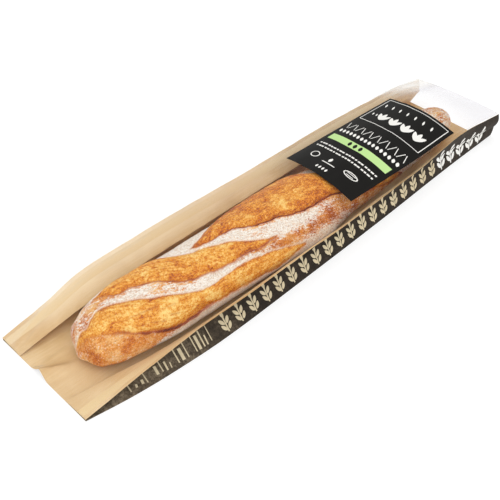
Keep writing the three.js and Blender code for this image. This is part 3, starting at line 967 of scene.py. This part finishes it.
# Short rules across a gusset near the bag's bottom: [x, from, to, width], up the paper.
WALL_RULES = [
    (44, 4, 12, 1.1), (50, 5, 8, 1.8), (56, 5, 9, 2.2), (60, 4, 15, 1.0), (71, 5, 13, 2.4),
    (76, 5, 17, 1.0), (80, 4, 12, 1.6), (84, 4, 9, 1.0), (92, 4, 18, 1.2), (97, 4, 15, 3.0),
    (102, 4, 18, 1.0), (111, 4, 19, 1.0), (115, 4, 17, 2.6), (119.5, 4, 19, 1.3),
    (123, 4, 13, 1.3), (128, 5, 20, 0.8),
]


def wheat_row(side):
    """A plain row of standing wheat ears printed along a gusset, and by the bag's bottom a
    few plain rules."""
    wall = on_gusset(side)
    lift = PAPER_THICKNESS / 2 + 0.07
    marks = []
    for x in np.arange(147, 540, 17):  # an ear each 17 mm
        # cream ears, and near the mouth, where the gusset is open, larger white ones
        ink, size = (CREAM_INK, 1) if x < 470 else (WHITE_INK, 1.25)
        marks.append(stroke(wall, ink, [(x, 3), (x + 1, 17 * size)], 1.4 * size, lift))
        for up, turn in ((7.5, -1), (7.5, 1), (13, -1), (13, 1)):
            middle = (x + 0.6 + 3.2 * turn * size, up * size)
            marks.append(grain_shape(wall, ink, middle, 7.4 * size, 3.3 * size,
                                     math.pi / 2 - 0.6 * turn, lift))
        marks.append(grain_shape(wall, ink, (x + 1.2, 19 * size), 7.2 * size, 3.3 * size,
                                 math.pi / 2, lift))
    for x, low, high, width in WALL_RULES:
        marks.append(stroke(wall, CREAM_INK, [(x, low), (x + 1, high)], width, lift))
    piece = join(marks, f"{side}_gusset_printing")
    finish_piece(piece, thickness=INK_THICKNESS)


wheat_row("right")
wheat_row("left")


def row_of_marks(along, ends, count, shape):
    """A row of printed marks across the label, each drawn by shape(along, across, number)."""
    return [shape(along, across, k) for k, across in enumerate(np.linspace(*ends, count))]


def label_print():
    """A frame, bands of plain marks where a label's words would be, and a green bar."""
    lift = 0.42

    def line(ends, width, ink=WHITE_INK):
        return stroke(on_label, ink, ends, width, lift)

    def grain(along, across, length, width, lean=0.0, ink=WHITE_INK, raised=lift):
        return grain_shape(on_label, ink, (along, across), length, width, lean, raised)

    frame_line = [(108, -39), (159, -39), (159, 39), (108, 39), (108, -39)]
    marks = [line(ends, 0.8) for ends in zip(frame_line, frame_line[1:])]
    # seven slim grains, then four bold sheaves of three
    marks += row_of_marks(146, (33, -28), 7, lambda a, c, k: grain(a, c, 7, 2, 0.25))
    for turn in (-1, 0, 1):
        marks += row_of_marks(125 - 1.5 * abs(turn), (19, -27), 4, lambda a, c, k: grain(
            a, c + 3.4 * turn, 14, 4.6, 0.5 * turn))
    marks += row_of_marks(124, (33, 28), 2, lambda a, c, k: grain(a, c, 5, 1.8, 0.3))
    # a band of thin leaning stalks, a band of small bold grains
    marks += row_of_marks(89, (37, -38), 15, lambda a, c, k: line(
        [(a - 5.5, c - (-1) ** k * 1.7), (a + 5.5, c + (-1) ** k * 1.7)], 0.75))
    marks += row_of_marks(76.5, (37, -38), 16, lambda a, c, k: grain(a, c, 6.4, 3.2, 0.3))
    marks.append(line([(61.5, -39), (61.5, 38)], 10.5, GREEN_INK))
    for at in (45.5, 39.5):
        marks += row_of_marks(at, (36, -36), 19, lambda a, c, k: line(
            [(a, c - 1.1 - 0.5 * (k % 2)), (a, c + 1.1 + 0.4 * (k % 3))], 2.0))
    # a ring, a leaf and an oval stand where seals and certificates would be
    for middle, reach_along, reach_across in (((24.5, 24), 4.6, 4.6), ((24, -23), 3.6, 7.6)):
        turn = np.linspace(0, 2 * np.pi, 25)
        loop = [(middle[0] + reach_along * math.cos(t), middle[1] + reach_across * math.sin(t))
                for t in turn]
        marks += [line(ends, 1.1) for ends in zip(loop, loop[1:])]
    marks += [grain(26, 4, 7, 3.6), line([(20, 10), (20, -6)], 1.2),
              line([(25.5, -18), (25.5, -28)], 0.8), line([(22.5, -19), (22.5, -27)], 0.8)]
    marks += row_of_marks(10, (8, -4), 4, lambda a, c, k: grain(a, c, 4.6, 2.2))
    # three dark grains in the middle of the green bar
    for across in (10, 3, -4):
        marks.append(grain(61.5, across, 8, 4, 0.2, LABEL_BLACK, lift + 0.07))
    piece = join(marks, "label_printing")
    finish_piece(piece, thickness=INK_THICKNESS)


label_print()

# --- floor, light and camera ---


def studio():
    floor = start(bpy.ops.mesh.primitive_plane_add, "studio_floor", size=6,
                  location=(0, 0, -0.0004))
    made, tree = new_material("white_studio_paper")
    # lit a little from below, as a light table is, so the bag's shadow stays faint
    shader = add(tree, "BsdfPrincipled", {
        "Base Color": colour("#B0B0B0"), "Roughness": 0.9,
        "Emission Color": (1, 1, 1, 1), "Emission Strength": 0.66})
    add(tree, "OutputMaterial", {"Surface": shader.outputs[0]})
    floor.data.materials.append(made)
    scene = bpy.context.scene
    world = bpy.data.worlds.new("soft_room")
    world.use_nodes = True
    glow = world.node_tree.nodes["Background"].inputs
    glow["Color"].default_value = (1, 1, 1, 1)
    glow["Strength"].default_value = 0.82
    scene.world = world
    for name, at, size, power in (
        ("overhead_softbox", (-0.3, 0.5, 1.5), 1.4, 4),
        ("front_softbox", (-0.5, -1.0, 1.1), 1.2, 7),
    ):
        lamp = bpy.data.lights.new(name, "AREA")
        lamp.size = size
        lamp.energy = power
        holder = bpy.data.objects.new(name, lamp)
        scene.collection.objects.link(holder)
        holder.location = at
        holder.rotation_euler = (-Vector(at)).to_track_quat("-Z", "Y").to_euler()
    scene.view_settings.view_transform = "Standard"


def camera():
    """Seen from above the bag's closed end, from its right side."""
    yaw, pitch, roll = math.radians(45.945), math.radians(41.8755), 0.002
    lens = bpy.data.cameras.new("product_camera")
    lens.lens = 63.5
    lens.sensor_width = 36
    holder = bpy.data.objects.new("product_camera", lens)
    bpy.context.scene.collection.objects.link(holder)
    turn = Matrix.Rotation(yaw - math.pi / 2, 4, "Z")
    turn = turn @ Matrix.Rotation(math.pi / 2 - pitch, 4, "X")
    turn = turn @ Matrix.Rotation(roll, 4, "Z")
    spot = place([-205.47, -459.58, 568.05])
    holder.matrix_world = Matrix.Translation(Vector(spot)) @ turn
    bpy.context.scene.camera = holder


studio()
camera()
